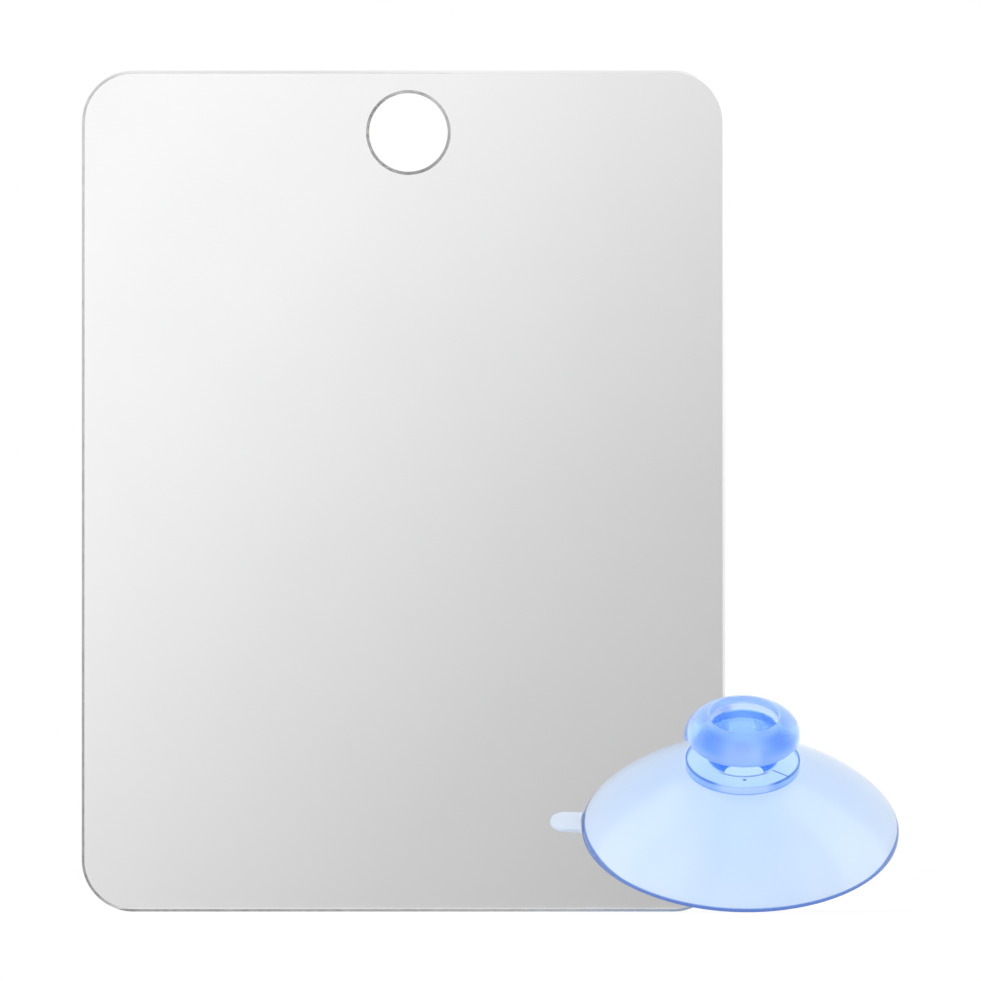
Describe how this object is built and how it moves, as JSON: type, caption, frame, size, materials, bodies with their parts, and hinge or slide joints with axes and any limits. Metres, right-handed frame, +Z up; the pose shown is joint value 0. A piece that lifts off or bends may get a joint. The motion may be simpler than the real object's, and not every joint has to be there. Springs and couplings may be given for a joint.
{
  "type": "fogless shower mirror",
  "caption": "Frameless acrylic fogless shower mirror with a hanging hole, and the clear blue suction cup that holds it on a wall.",
  "frame": {"origin": "middle of the mirror plate's bottom edge, half-way through the acrylic, on the ground", "axes": "+Z up the plate, -Y the way the mirror faces, +X to the right as seen from the front"},
  "size_m": [0.1646, 0.0565, 0.17],
  "materials": {
    "clear_acrylic": "polished",
    "antifog_coat": "gloss",
    "silver_coating": "polished",
    "backing_paint": "satin",
    "dome_pvc": "gloss",
    "stem_pvc": "gloss",
    "tab_pvc": "gloss"
  },
  "bodies": {
    "mirror": {"acrylic_sheet": "clear_acrylic", "antifog_film": "antifog_coat", "mirror_coating": "silver_coating", "backing_paint": "backing_paint"},
    "cup": {"cup_dome": "dome_pvc"},
    "stem": {"cup_stem": "stem_pvc"},
    "tab": {"pull_tab": "tab_pvc"}
  },
  "joints": [
    {"name": "cup_away", "type": "slide", "parent": "mirror", "child": "cup", "axis": [0, -1, 0], "range_m": [0, 0.12]},
    {"name": "stem_press", "type": "slide", "parent": "cup", "child": "stem", "axis": [-0.0189, 0.5147, -0.8572], "range_m": [0, 0.009], "stiffness_N_per_m": 1000, "deforming": ["cup_dome"]},
    {"name": "tab_lift", "type": "hinge", "parent": "cup", "child": "tab", "pos_m": [0.03591, -0.02755, 0.0184], "axis": [0.0471, 0.8568, 0.5135], "range_deg": [0, 80], "stiffness_Nm_per_rad": 0.002}
  ]
}
